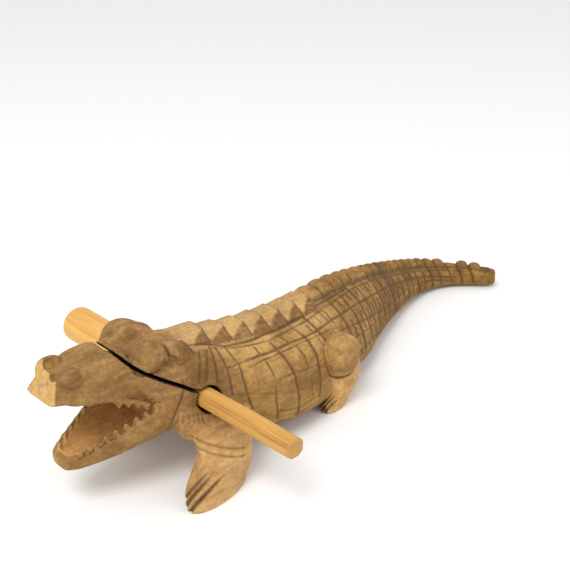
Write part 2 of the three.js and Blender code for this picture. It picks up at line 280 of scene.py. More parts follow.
def ends(d, s, first, last, k=2.0):
    """The field d cut off before the first station and after the last."""
    return smax(d, smax(first - s, s - last, k), k)


def ellipsoid(s, w, z, centre, radii):
    """Distance to an ellipsoid's skin."""
    q = [(v - c) / r for v, c, r in zip((s, w, z), centre, radii)]
    f = np.sqrt(sum(v * v for v in q)) + 1e-6
    gradient = np.sqrt(sum((v / r) ** 2 for v, r in zip(q, radii))) / f + 1e-6
    return (f - 1) / gradient


def limb(table, s, w, z):
    """Distance to a leg's skin, and the angle round the leg: 90 degrees faces out, 180 towards the head."""
    station, sideways, length, thick = smooth_rows(table, z)
    forwards = s - station
    a, b = forwards / length, (w - sideways + SPLAY * forwards) / thick
    f = np.sqrt(a * a + b * b) + 1e-6
    gradient = np.hypot(a / length, b / thick) / f + 1e-6
    return (f - 1) / gradient, np.degrees(np.arctan2(b, a)) % 360


def girth(s, w, z):
    """The angle round the trunk's section, and how many mm one degree of it spans."""
    hw, bottom, widest, top, above, below = smooth_rows(TRUNK, s)
    up = z > widest
    reach = np.where(up, top - widest, widest - bottom)
    p = np.where(up, above, below)
    a, b = np.abs(w) / hw, np.abs(z - widest) / reach
    angle = np.degrees(np.arctan2(b ** (p / 2) * np.where(up, 1, -1), a ** (p / 2)))
    t = np.radians(angle)
    return angle, np.radians(1) * np.hypot(hw * np.sin(t), reach * np.cos(t))


def distance_to_line(x, y, points):
    """Distance in a plane from (x, y) to a line through the points."""
    best = np.full(len(x), 1e3)
    for (ax, ay), (bx, by) in zip(points, points[1:]):
        dx, dy = bx - ax, by - ay
        t = np.clip(((x - ax) * dx + (y - ay) * dy) / (dx * dx + dy * dy), 0, 1)
        best = np.minimum(best, np.hypot(x - ax - t * dx, y - ay - t * dy))
    return best


def vee(distance, depth, half_width):
    """A knife cut's depth: a V with a shallow rounded shoulder on both sides."""
    away = np.abs(distance) / half_width
    return depth * (0.7 * np.clip(1 - away, 0, 1) + 0.3 * np.exp(-((away / 2.4) ** 2)))


def tail_belts():
    """Stations of the grooves that part the tail's knobs, closer together towards the tip."""
    stations, s = [], TAIL_FROM
    while s < TAIL_TO:
        stations.append(s)
        s += float(np.interp(s, [TAIL_FROM, 200, TAIL_TO], [13.5, 11, 8.6])) * rng.uniform(0.9, 1.1)
    return np.array(stations)


BELTS = tail_belts()
GAP_KNOB = int(np.argmin(np.abs(BELTS - 300)))  # one knob near the tip is missing


def scale_grooves(s, w, z, shift, strength):
    """Depth of the carved scale lines on the trunk and tail."""
    angle, mm = girth(s, w, z)
    depth = np.zeros(len(s))
    for points, deep, half in LENGTHWISE:
        at = np.array(points, float)
        line = np.interp(s, at[:, 0], at[:, 1])
        inside = fade(s - at[0, 0], 3) * fade(at[-1, 0] - s, 3)
        depth = np.maximum(depth, inside * vee((angle - line) * mm + shift, deep, half))
    for points, deep, half in CROSSWISE:
        at = np.array(points[::-1], float)
        line = np.interp(angle, at[:, 0], at[:, 1])
        inside = fade(angle - at[0, 0] + 1, 2) * fade(at[-1, 0] + 1 - angle, 2)
        depth = np.maximum(depth, inside * vee(s - line + shift, deep, half))
    # The tail's belts lean back down its side. Between them, every other row of scales has a short cut.
    low = np.interp(s, [114, 150, 190, 240, 330], [6, 4, -20, -20, -30])
    on_tail = fade(s - 112, 2) * fade(TAIL_TO - 6 - s, 4) * (angle > low)
    leant = s - (70 - angle) * 0.05
    to_belt = np.min(np.abs(leant[:, None] - BELTS), axis=1)
    depth = np.maximum(depth, on_tail * (angle < 78) * vee(to_belt + shift, 1.4, 1.2))
    to_middle = np.min(np.abs(leant[:, None] - (BELTS[:-1] + BELTS[1:]) / 2), axis=1)
    every_other = np.floor((angle + 40) / 16).astype(int) % 2 == 0
    where = on_tail * every_other * (angle < 66) * (s < 262)
    depth = np.maximum(depth, where * vee(to_middle + shift, 1.1, 1.05))
    return depth * strength


# Strokes of the knife on the head, in the s-z plane: points, depth, half width.
EYE_STROKES = [  # behind and under the near eye
    ([(-15.5, 79.5), (-14, 76), (-14.5, 71.5), (-16.5, 68.5)], 1.2, 0.9),
    ([(-17.5, 70.5), (-20.5, 67.5)], 0.9, 0.8),
    ([(-1, 74), (1.2, 71), (2, 68)], 1.0, 1.2),
]
CHEEK_STROKES = [
    ([(-10.5, 56), (-14, 47), (-17.5, 39)], 0.9, 0.7),
    ([(-8, 57.5), (-8.5, 60)], 0.6, 0.6),
    ([(-10, 57), (-10.5, 60)], 0.6, 0.6),
]
HATCH_COUNT, HATCH_PITCH = 6, 2.1  # short strokes side by side at the corner of the mouth
HATCH = [
    ([(-14 + i * HATCH_PITCH, 41.5), (-15 + i * HATCH_PITCH, 37.5)], 0.5, 0.6) for i in range(HATCH_COUNT)
]
# Strokes on top of the snout, in the s-w plane: down its middle, and beside the near nostril.
SNOUT_STROKE = ([(-60, 0), (-41, 0)], 0.5, 1.5)
NOSTRIL_STROKE = ([(-64.2, 5), (-62, 6.6), (-60.6, 9.2)], 1.0, 0.9)

# Each lump or hollow is (centre, radii), with w counted outwards. An eye is two lumps that run together.
NEAR_EYE = [((-23.8, 14.0, 73.4), (9.6, 7.8, 8.6)), ((-10.5, 13.6, 69.0), (10.5, 8.0, 7.6))]
FAR_EYE = [((-20.5, 14.0, 73.0), (10.5, 8.0, 9.2)), ((-13.0, 13.5, 70.6), (11.0, 8.0, 7.0))]
FAR_BROW = ((-26.5, 11.0, 70.5), (8.6, 8.0, 6.6))
EYE_HOLLOW = ((-12.8, 20.4, 69.2), (2.5, 3.4, 3.2))  # behind the near eye
NOSTRIL = ((-63.4, 9.0, 74.6), (5.4, 4.8, 5.2))
FAR_NOSTRIL = ((-65.0, 6.5, 74.3), (8.0, 4.4, 5.6))
NEAR_PIT = ((-68.6, 5.2, 77.0), (4.0, 3.4, 4.2))
FAR_PIT = ((-66.0, 3.6, 78.0), (3.2, 2.4, 3.0))
THIGH = ((98.0, 32.0, 33.0), (12.6, 10.5, 12.6))
FAR_THIGH = ((95.0, 29.0, 28.5), (13.0, 10.5, 12.5))
CLEFT = ((87.0, 38.5, 15), (4.2, 10, 15))  # in front of the hind foot

# The snout, by station: the height of its top along the middle, how steeply the top rises from there to the
# sides, and how much the sides lean in.
SNOUT_TOP = ([-74, -66, -58, -40, -32], [76.2, 75.8, 75.6, 76.6, 77.2])
SNOUT_RISE = ([-74, -62, -50, -42, -30], [0.05, 0.08, 0.4, 0.42, 0.3])
SNOUT_LEAN = ([-74, -64, -52, -46], [0.5, 0.42, 0.12, 0.0])
NEAR_SNOUT_HALF, FAR_SNOUT_HALF = 12.9, 11.6

LOWER_NOTCHES = [-27, -31.5, -36.5, -41.5, -46.5, -51.3, -56.3, -61]
UPPER_TEETH = [-42.5, -38.2, -34, -29.8, -25.6]
LIP_ARCHES = [-68, -59.5, -51.5]
JAW_END = -4  # both jaws run back to here, inside the trunk
HEAD_TO = 24.0  # the head's own shapes and cuts end before this station


def front_plane(s, z):
    """Distance ahead of the snout's flat, leaning end."""
    return (-74.9 + (z - 64.5) * 0.4276 - s) * 0.92


def upper_jaw(s, w, z):
    """The upper jaw, cut flat on top, at the sides and in front, with its nostrils."""
    a = np.abs(w)
    far = w > 0
    jaw = ends(superellipse(UPPER_JAW, s, w, z), s, -90, JAW_END)
    top, rise, lean = (np.interp(s, *table) for table in (SNOUT_TOP, SNOUT_RISE, SNOUT_LEAN))
    jaw = smax(jaw, (z - top - a * rise) * 0.93, 0.4)
    half_width = np.where(far, FAR_SNOUT_HALF, NEAR_SNOUT_HALF)
    widening = fade(s + 62, 10) * 3
    jaw = smax(jaw, (a - half_width + (z - 64) * lean - widening) * 0.9, 0.8)
    mounds = np.where(far, ellipsoid(s, a, z, *FAR_NOSTRIL), ellipsoid(s, a, z, *NOSTRIL))
    jaw = smin(jaw, mounds, 0.9)
    jaw = smax(jaw, front_plane(s, z), 0.5)
    pits = np.where(far, ellipsoid(s, a, z, *FAR_PIT), ellipsoid(s, a, z, *NEAR_PIT))
    return smax(jaw, -pits, 0.7)


def upper_teeth(s, a, z):
    """Pointed teeth that hang from the upper lip's back half."""
    half_width, lip = smooth_rows(UPPER_JAW, s)[0:2]
    teeth = np.full(len(s), 5.0)
    for at in UPPER_TEETH:
        drop = 2.3 - 1.3 * np.abs(s - at)
        height = np.maximum(lip - drop - z, z - lip - 2)
        teeth = np.minimum(teeth, np.maximum(height, np.abs(a - half_width + 1.6) - 1.3))
    return teeth


def add_eyes(d, s, w, z):
    """The eyes, each with a flat cut across its front, the far brow and the hollow behind the near eye."""
    a = np.abs(w)
    far = w > 0
    near_cut = -(s + 31.2) * 0.72 + (a - 15.5) * 0.62 + (z - 74) * 0.15 + 1.2
    far_cut = -(s + 31.5) * 0.8 - (a - 14) * 0.5 + (z - 76) * 0.25 + 1.0
    for here, lumps, blend, cut in ((~far, NEAR_EYE, 0.8, near_cut), (far, FAR_EYE, 4.0, far_cut)):
        eye = smin(*(ellipsoid(s, a, z, *lump) for lump in lumps), blend)
        d = np.where(here, smin(d, smax(eye, cut, 0.6), 1.0), d)
    d = np.where(far, smin(d, ellipsoid(s, a, z, *FAR_BROW), 1.0), d)
    return np.where(far, d, smax(d, -ellipsoid(s, a, z, *EYE_HOLLOW), 0.6))


def head(d, s, w, z):
    """The trunk's field d with the jaws, the upper teeth and the eyes added."""
    d = smin(d, upper_jaw(s, w, z), 1.5)
    d = np.minimum(d, upper_teeth(s, np.abs(w), z))
    lower = ends(superellipse(LOWER_JAW, s, w, z), s, -67.5, JAW_END, 1.2)
    return add_eyes(smin(d, lower, 1.5), s, w, z)


def mouth_hollow(s, a, z):
    """The scooped-out lower jaw: its field, its half width and the height of its rim."""
    hw, bottom, _, top, _, _ = smooth_rows(LOWER_JAW, s)
    inner = np.maximum(hw - JAW_WALL, 2)
    floor = bottom + JAW_FLOOR
    reach = np.maximum(top + 1 - floor, 1)
    x, y = a / inner, np.clip((top + 1 - z) / reach, 0, None)
    hollow = ((x**2.4 + y**2.4) ** (1 / 2.4) - 1) * np.minimum(inner, reach) * 0.9
    hollow = np.maximum(hollow, np.maximum(z - top - 6, a - inner + np.clip(z - top, 0, None) * 2.4))
    return smax(hollow, np.maximum(-64.5 - s, s - GULLET), 2.5), inner, top


def scalloped_lip(d, s, a, z):
    """Shallow arches cut into the upper lip's front half."""
    half_width, lip = smooth_rows(UPPER_JAW, s)[0:2]
    arches = np.max([1.2 * np.exp(-(((s - at) / 2.2) ** 2)) for at in LIP_ARCHES], axis=0)
    cut = np.maximum(np.abs(a - half_width) - 3.5, z - lip - arches)
    cut = np.maximum(cut, s + 46)
    return np.where((s < -44) & (z > 50), smax(d, -cut, 0.6), d)


def strokes(x, y, cuts):
    """Depth of several knife strokes in the x-y plane, each (points, depth, half width)."""
    return np.max([vee(distance_to_line(x, y, points), deep, half) for points, deep, half in cuts], axis=0)


def head_strokes(s, w, z):
    """Depth of the knife's strokes on the head, and of the seam round the near eye's front lump."""
    a = np.abs(w)
    cheek = strokes(s, z, CHEEK_STROKES + HATCH) * (a > 8)
    eye = strokes(s, z, EYE_STROKES) * (w < -8)
    snout = strokes(s, a, [SNOUT_STROKE]) * (z > 66)
    nostril = strokes(s, a, [NOSTRIL_STROKE]) * (w < 0) * (z > 66)
    seam = vee(ellipsoid(s, -w, z, *NEAR_EYE[0]) - 0.6, 1.2, 0.9) * (s < -20) * (s > -33) * (z > 66)
    return np.maximum.reduce([cheek, eye, snout, nostril, seam])


def head_cuts(d, s, w, z):
    """The field d with the mouth hollowed and its lips cut, and the depth of the dark lines on the head."""
    a = np.abs(w)
    hollow, inner, top = mouth_hollow(s, a, z)
    d = smax(d, -hollow, 0.8)
    lines = head_strokes(s, w, z)
    for at in LOWER_NOTCHES:
        floor = top - np.where(w > 0, 2.2, 3.2) + 0.34 * (a - inner)
        notch = np.maximum(np.abs(s - at) - 0.9 - 0.2 * (z - floor), (floor - z) * 0.9)
        notch = np.maximum(notch, np.maximum(inner - 3 - a, z - top - 3))
        d = smax(d, -notch, 0.35)
        # Painted shade down inside each notch.
        lines = np.maximum(lines, 0.6 * np.clip(0.9 - notch, 0, 1) * (z < top - 0.6) * (z > floor - 1))
    return scalloped_lip(d, s, a, z), lines


def bore_and_slot(s, w, z):
    """Distances to the hole through the cheeks and to the saw slot."""
    middle_s = BORE_MIDDLE[0] + w * TRAVEL[0] / TRAVEL[1]
    middle_z = BORE_MIDDLE[1] + w * TRAVEL[2] / TRAVEL[1]
    bore = np.hypot(s - middle_s, z - middle_z) - BORE_RADIUS
    return bore, distance_to_line(s, z, SLOT_LINE) - SLOT_WIDTH / 2


def saw_cuts(d, s, w, z):
    bore, slot = bore_and_slot(s, w, z)
    return smax(smax(d, -bore, 0.4), -slot, 0.25)


# The rasp: teeth like small roofs across the back. Each rises over most of its length and then drops.
RASP_FROM, RASP_PITCH, RASP_TEETH = 17.0, 14.6, 6
RASP_TO = RASP_FROM + RASP_PITCH * RASP_TEETH
RISE, DROP = 0.95, 0.05  # shares of a tooth's length
CREST, FOOT, NAPE_FOOT = 5.2, 3.4, 1.0  # a tooth's height over the back at its two ends, and the first one's
RIDGE_HALF = 11.4  # half the width at the foot of the bevels under the teeth


def ridge_planes(s, a, top):
    """Heights of the teeth's roofs and of the bevels under them, and how far along its tooth a point is."""
    slanted = s + np.clip(5 - a, 0, None) * 0.3
    share = ((slanted - RASP_FROM) / RASP_PITCH) % 1.0
    share = np.where(slanted < RASP_FROM, fade(slanted - 1, RASP_FROM - 1), share)
    rise = np.where(share < RISE, share / RISE, (1 - share) / DROP)
    low = np.where(slanted < RASP_FROM, NAPE_FOOT, FOOT)
    roof = top + low + (CREST - low) * rise - a * (0.48 - 0.22 * rise)
    bevel = top - 1.9 + 0.97 * (RIDGE_HALF - a)
    return roof, bevel, share


def knobs(s):
    """Where each station falls within its tail knob, and that knob's height and half width."""
    k = np.clip(np.searchsorted(BELTS, s, "right") - 1, 0, len(BELTS) - 2)
    share = np.clip((s - BELTS[k]) / (BELTS[k + 1] - BELTS[k]), 0, 1)
    height = np.interp(s, [96, 112, 130, 170, 230, 330], [4.6, 5.2, 6.2, 5.2, 4.4, 3.2])
    half = np.interp(s, [100, 150, 200, 260, 330], [7.5, 6.4, 5.4, 4.6, 3.6])
    return share, np.where(k == GAP_KNOB, 0.5, height), half


def back_ridge(d, s, w, z, wobble):
    """The field d with the rasp's teeth on the back, then the rounded knobs along the tail."""
    a = np.abs(w)
    top = smooth_rows(TRUNK, s)[3]
    roof, bevel, _ = ridge_planes(s + wobble * 0.5, a, top)
    teeth = smax((z - roof) * 0.82, (z - bevel) * 0.66, 0.25)
    teeth = ends(np.maximum(teeth, top - 9 - z), s, -4, RASP_TO + 1, 2)
    d = np.where((a < 15) & (s < RASP_TO + 8) & (s > -12), smin(d, teeth, 0.5), d)

    share, height, half = knobs(s)
    along = 0.05 + 0.95 * np.sqrt(np.clip(1 - ((2 * share - 1) / 0.92) ** 2, 0, 1))
    across = np.sqrt(np.clip(1 - (a / half) ** 2.2, 0, 1))
    crown = top - 0.4 + (height + 0.4) * along * across + wobble * 0.3
    knob = np.maximum(np.maximum(z - crown, top - 7 - z) * 0.75, a - half - 0.4)
    knob = ends(knob, s, RASP_TO - 1, TAIL_TO + 1, 2.5)
    return np.where((a < 14) & (s > 98), smin(d, knob, 0.6), d)


def ridge_tones(s, w, z):
    """1 on the dark bevels and -1 on the pale teeth, then painted shade: 1 in the cuts between teeth and
    round the knobs.
    """
    a = np.abs(w)
    top = smooth_rows(TRUNK, s)[3]
    roof, bevel, share = ridge_planes(s, a, top)
    on_ridge = fade(13.6 - a, 0.8) * fade(s + 2, 6) * fade(RASP_TO - s, 2) * (z > top - 4.6)
    tone = on_ridge * np.clip((roof - bevel) / 0.5, -1, 1)
    before, after = (1 - share) * RASP_PITCH, share * RASP_PITCH
    cut = on_ridge * np.clip(1.8 - np.minimum(before / 0.95, after / 0.7), 0, 1) * (s > 8) * (a < 12)

    share, _, half = knobs(s)
    length = np.interp(s, [TAIL_FROM, TAIL_TO], [12, 8])
    on_knobs = (a < half + 1) * (s > RASP_TO + 2) * (s < TAIL_TO) * (z > top - 3)
    between = on_knobs * np.clip(1.3 - np.minimum(share, 1 - share) * length / 1.1, 0, 1)
    beside = np.clip(1.3 - np.abs(a - half - 0.5) / 0.7, 0, 1)
    beside = beside * (s > RASP_TO - 6) * (s < TAIL_TO) * (z > top - 4)
    return tone, np.maximum.reduce([cut, between, beside])


def toe_cuts(table, s, z, angle):
    """Depth of the V-grooves between the toes, and of the two strokes round the front wrist."""
    front = table is FRONT_LEG
    cut = np.zeros(len(s))
    for start, turn, end in TOE_GROOVES:
        off = (angle - start - turn * z) * TOE_MM
        cut = np.maximum(cut, vee(off, 2.2, 2.2) * fade(end - (0 if front else HIND_TOE_DROP) - z, 6))
    if front:
        outer = (angle > 70) & (angle < 200) & (np.abs(s + 1) < 11)
        for level in WRIST_STROKES:
            line = z - level + 0.43 * (s + 10)
            cut = np.maximum(cut, vee(line, 1.0, 1.1) * outer)
    return cut


def add_leg(d, table, s, a, z, fine):
    """The field d with a leg blended in, where the skin is the leg's, and the depth of the lines on it."""
    front = table is FRONT_LEG
    leg, angle = limb(table, s, a, z)
    leg = smax(leg, z - table[-1][0], 4)
    on_leg, lines = np.zeros(len(s), bool), np.zeros(len(s))
    if fine:
        cut = toe_cuts(table, s, z, angle)
        leg = leg + cut
        on_leg = leg < d + 0.5
        lines = np.where(leg < d + 2, np.minimum(0.5 * cut, 3), 0)
    if front:
        d = smin(d, ellipsoid(s, a, z, *SHOULDER), 3)
    return smin(d, leg, 2.5 if front else 1.6), on_leg, lines


def add_thigh(d, s, w, z):
    """The field d with the thigh in its groove, where the skin is the thigh's, and the groove's depth."""
    a = np.abs(w)
    thigh = np.where(w < 0, ellipsoid(s, a, z, *THIGH), ellipsoid(s, a, z, *FAR_THIGH))
    seam = np.exp(-(((thigh - 0.6) / 0.8) ** 2)) * fade(44 - z, 6)
    d = smax(d + seam, -ellipsoid(s, a, z, *CLEFT), 1.0)
    return smin(d, thigh, 0.9), thigh < d + 0.5, seam * (thigh > 0.2)


def skin_lines(s, w, z, warp, cross):
    """Depth of the scale lines on the body, and of the cuts between the rasp's teeth."""
    grooves = scale_grooves(s, w, z, 0.35 * warp, 0.85 + 0.3 * cross) * fade(s + 6, 4)
    a = np.abs(w)
    share = ridge_planes(s + 0.5 * warp, a, z)[2]
    step = np.clip(1.4 - np.minimum(share, 1 - share) * RASP_PITCH / 0.8, 0, 1) * (s > 8)
    on_ridge = (a < 11.5) & (s > -6) & (s < RASP_TO)
    return np.where(on_ridge, 0.45 * step, grooves)


def carving(p, fine=True):
    """The whole carving's field at points p, and the depth of the knife's lines there."""
    s, w, z = p.T.astype(float)
    a = np.abs(w)
    n = len(s)
    warp = lattice_noise(p, (21, 15, 15), 1) if fine else np.zeros(n)
    cross = lattice_noise(p, (6, 6, 6), 2) if fine else np.zeros(n)
    trunk = ends(superellipse(TRUNK, s, w, z), s, -33, 335.5, 3)
    d = trunk.copy()
    m = s < HEAD_TO
    if m.any():
        d[m] = head(d[m], s[m], w[m], z[m])
    d = back_ridge(d, s + 0.5 * warp, w, z, warp)

    on_limb = np.zeros(n, bool)
    lines, limb_lines, seam = np.zeros(n), np.zeros(n), np.zeros(n)
    for table in (FRONT_LEG, HIND_LEG):
        m = (np.abs(s - table[2][1]) < 34) & (z < table[-1][0] + 6) & (a > 8)
        if m.any():
            d[m], on_limb[m], limb_lines[m] = add_leg(d[m], table, s[m], a[m], z[m], fine)
    m = (np.abs(s - THIGH[0][0]) < 20) & (a > 15)
    if m.any():
        d[m], on_thigh, seam[m] = add_thigh(d[m], s[m], w[m], z[m])
        limb_lines[m] = np.where(on_thigh & ~on_limb[m], 0, limb_lines[m])
        on_limb[m] |= on_thigh

    m = s < HEAD_TO
    if m.any():
        d[m], lines[m] = head_cuts(d[m], s[m], w[m], z[m])
    if fine:
        m = (np.abs(trunk) < 2.5) & ~on_limb & (s > -8) & (d > -2.5)
        lines[m] = np.maximum(lines[m], skin_lines(s[m], w[m], z[m], warp[m], cross[m]))
        d = d + lines + 0.16 * cross
    m = s < HEAD_TO
    if m.any():
        d[m] = saw_cuts(d[m], s[m], w[m], z[m])
    # The second value also places painted shade in the cuts and grooves.
    return np.maximum(d, -z), lines + limb_lines + 0.7 * seam


def mesh_field():
    """Meshes the carving. The fine field is worked out only near the surface."""
    low, high = np.array(GRID_LOW), np.array(GRID_HIGH)
    step = VOXEL * BLOCK
    counts = np.ceil((high - low) / step).astype(int)
    axes = [low[c] + (np.arange(counts[c]) + 0.5) * step for c in range(3)]
    centres = np.stack(np.meshgrid(*axes, indexing="ij"), -1).reshape(-1, 3)
    coarse = np.concatenate([carving(c, False)[0] for c in np.array_split(centres, 8)])
    near = np.abs(coarse) < step * 0.9 + 2.2
    dense = (np.sign(coarse).reshape(counts) * FIELD_LIMIT).astype(np.float32)
    for axis in range(3):
        dense = dense.repeat(BLOCK, axis)
    offsets = np.stack(np.meshgrid(*[np.arange(BLOCK)] * 3, indexing="ij"), -1).reshape(-1, 3)
    cells = np.stack(np.unravel_index(np.nonzero(near)[0], counts), -1)
    for part in np.array_split(cells, max(1, len(cells) * BLOCK**3 // BATCH)):
        index = (part[:, None, :] * BLOCK + offsets[None]).reshape(-1, 3)
        points = low + (index + 0.5) * VOXEL
        field = np.clip(carving(points)[0], -FIELD_LIMIT, FIELD_LIMIT)
        dense[index[:, 0], index[:, 1], index[:, 2]] = field
    grid = openvdb.FloatGrid(FIELD_LIMIT)
    grid.copyFromArray(dense)
    points, quads = grid.convertToQuads(0.0)
    return low + (points.astype(float) + 0.5) * VOXEL, quads.astype(np.int64)


def make_mesh(name, points, faces, material):
    """A smooth mesh object from arrays of points and of faces with a fixed number of corners."""
    sides = faces.shape[1]
    mesh = bpy.data.meshes.new(name)
    mesh.vertices.add(len(points))
    mesh.vertices.foreach_set("co", np.asarray(points, np.float32).ravel())
    mesh.loops.add(faces.size)
    mesh.loops.foreach_set("vertex_index", faces.astype(np.int32).ravel())
    mesh.polygons.add(len(faces))
    mesh.polygons.foreach_set("loop_start", np.arange(0, faces.size, sides, dtype=np.int32))
    mesh.update(calc_edges=True)
    mesh.validate()
    mesh.polygons.foreach_set("use_smooth", np.ones(len(mesh.polygons), bool))
    mesh.materials.append(material)
    made = bpy.data.objects.new(name, mesh)
    bpy.context.scene.collection.objects.link(made)
    return made


def set_attribute(mesh, name, values):
    """A named value at every vertex, for the materials to read."""
    layer = mesh.attributes.new(name, "FLOAT", "POINT")
    layer.data.foreach_set("value", np.asarray(values, np.float32))


def head_tones(s, w, z):
    """Where the head is smoked brown, where its front shows end grain, where it is hollowed, and the painted
    shade in the hole and the saw slot.
    """
    front = np.clip(1.6 + front_plane(s, z) / 0.6, 0, 1) * (z > 55) * (s < -60)
    bore, slot = bore_and_slot(s, w, z)
    return {
        "smoked": fade(26 - s, 16) * fade(z - 26, 8) * (1 - front),
        "end_grain": front,
        "mouth": np.clip(1.5 - mouth_hollow(s, np.abs(w), z)[0], 0, 1) * (s < -10),
        # Painted shade: the walls of the hole and of the saw slot, painted nearly black.
        "painted_hole_shade": ((bore < 0.35) | (slot < 0.3)) & (s < 12) & (s > -50),
    }


def pale_share(s, w, z):
    """The paler wood of the front legs, the nape, the thighs' edges and the hind feet."""
    a = np.abs(w)
    inner = fade(30 - z, 8) * fade(a - 26, 6) * (s < 26)
    outer = fade(38 - z, 6) * fade(a - 28, 4) * (s < 24)
    thigh = np.clip(1.5 - np.abs(ellipsoid(s, a, z, *THIGH)), 0, 1)
    foot = (np.abs(s - 104) < 22) * (a > 16) * fade(30 - z, 6) * (s > 86)
    nape = 0.5 * (a < 13) * fade(s + 6, 6) * fade(18 - s, 6) * (z > smooth_rows(TRUNK, s)[3] - 4)
    return np.maximum.reduce([inner, outer, nape, 0.35 * thigh, foot * 1.2])


def shade_share(s, w, z):
    """Painted shade lower down the flanks; the neck, the tail and the head ahead of the hole are made darker
    as well.
    """
    neck = np.interp(s, [-12, -5, 10, 22], [0.2, 0.9, 0.9, 0.0]) * fade(np.abs(w) - 14, 4) * fade(z - 34, 8)
    flank = (0.1 + 0.7 * fade(smooth_rows(TRUNK, s)[3] - z - 6, 22)) * fade(s - 8, 10)
    tail = np.interp(s, [104, 118, 150, 210, 300, 330], [0, 0.55, 0.7, 0.85, 0.95, 1.0])
    jaws = np.interp(s, [-70, -30, -14], [0.5, 0.45, 0.2])
    return np.where(s < -14, jaws, np.maximum.reduce([neck, flank, tail]))


def stain_share(s, w, z):
    """A dark band across the tail, and a fainter patch on the near side of the jaw."""
    band = np.exp(-(((s - 209 + 0.12 * (z - 20)) / 5.5) ** 2)) * fade(20 - w, 20)
    patch = np.exp(-(((s + 41) / 7) ** 2 + ((z - 62.6 + 0.375 * (s + 40)) / 2.4) ** 2)) * (w < 0)
    return np.maximum(band, 0.4 * patch)


def surface_tones(s, w, z, lines):
    """The crocodile's attributes by name, each a value for every vertex."""
    tone, cuts = ridge_tones(s, w, z)
    on_head = head_tones(s, w, z)
    pale = pale_share(s, w, z)
    unshaded = np.maximum.reduce([pale, on_head["mouth"], on_head["end_grain"]])
    return {
        # Painted shade: dark lines in the knife's cuts and grooves, between the rasp's teeth and round the
        # knobs.
        "painted_groove_shade": np.clip(np.maximum((lines - 0.18) / 0.45, cuts * 0.85), 0, 1),
        "ridge_tone": tone,
        **on_head,
        "stain": stain_share(s, w, z),
        "pale": pale,
        "shade": np.clip(shade_share(s, w, z) * (1 - unshaded), 0, 1),
    }


def carved_crocodile(material):
    points, quads = mesh_field()
    batches = np.array_split(points, max(1, len(points) // BATCH))
    lines = np.concatenate([carving(batch)[1] for batch in batches])
    world = bend(points)
    a, b, c, e = (world[quads[:, i]] for i in range(4))
    volume = np.einsum("ij,ij->i", a - world.mean(0), np.cross(c - a, e - b)).sum()
    if volume < 0:
        quads = quads[:, ::-1]
    made = make_mesh("crocodile_body", world / MM, quads, material)
    for name, values in surface_tones(*points.T, lines).items():
        set_attribute(made.data, name, values)
    return made


# ---------------------------------------------------------------- the beater
# In mm along its line from the handle's end. The handle swells into the club over the shoulder's length.
HANDLE_LENGTH, CLUB_SHOULDER = 121.0, 9.0
HANDLE_RADIUS, CLUB_RADIUS, CLUB_ROUNDING = 5.3, 10.0, 4
HANDLE_CORNER = 1.058  # the eight corners are worn down to this many times the handle's radius
HANDLE_CHAMFER = 1.3
BEATER_SIDES = 96


def beater_line():
    """The CAD beater's line: its start, its direction, two directions across it, and its length."""
    axis = np.array(TRAVEL, float)
    axis /= np.linalg.norm(axis)
    side = np.cross(axis, [0, 0, 1.0])
    side /= np.linalg.norm(side)
    verts = np.array([v.co for v in frame["nodes"]["beater"].data.vertices]) * MM
    along = verts @ axis
    start = along.min()
    first = verts[along < start + 2.5]
    centre = (first.min(0) + first.max(0)) / 2
    origin = centre + axis * (start - centre @ axis)
    return origin, axis, side, np.cross(side, axis), along.max() - start


def beater_radius(t, phi, length):
    """The beater's radius at distance t, at every angle phi round it."""
    swell = np.clip((t - HANDLE_LENGTH) / CLUB_SHOULDER, 0, 1)
    swell = swell * swell * (3 - 2 * swell)
    corner = np.abs(((phi + np.pi / 8) % (np.pi / 4)) - np.pi / 8)
    facet = np.minimum(HANDLE_RADIUS / np.cos(corner), HANDLE_RADIUS * HANDLE_CORNER)
    chamfer = np.clip((HANDLE_CHAMFER - t) / HANDLE_CHAMFER, 0, 1) ** 1.3 * 1.2
    wave = 0.14 * np.sin(t * 0.11 + 3 * np.cos(phi * 2)) * (1 - swell)
    club = CLUB_RADIUS - 0.05 + 0.08 * np.sin(t * 0.19 + phi)
    inside = max(CLUB_ROUNDING - (length - t), 0)
    rounding = CLUB_ROUNDING - np.sqrt(max(CLUB_ROUNDING**2 - inside**2, 0))
    return (facet + wave - chamfer) * (1 - swell) + club * swell - rounding


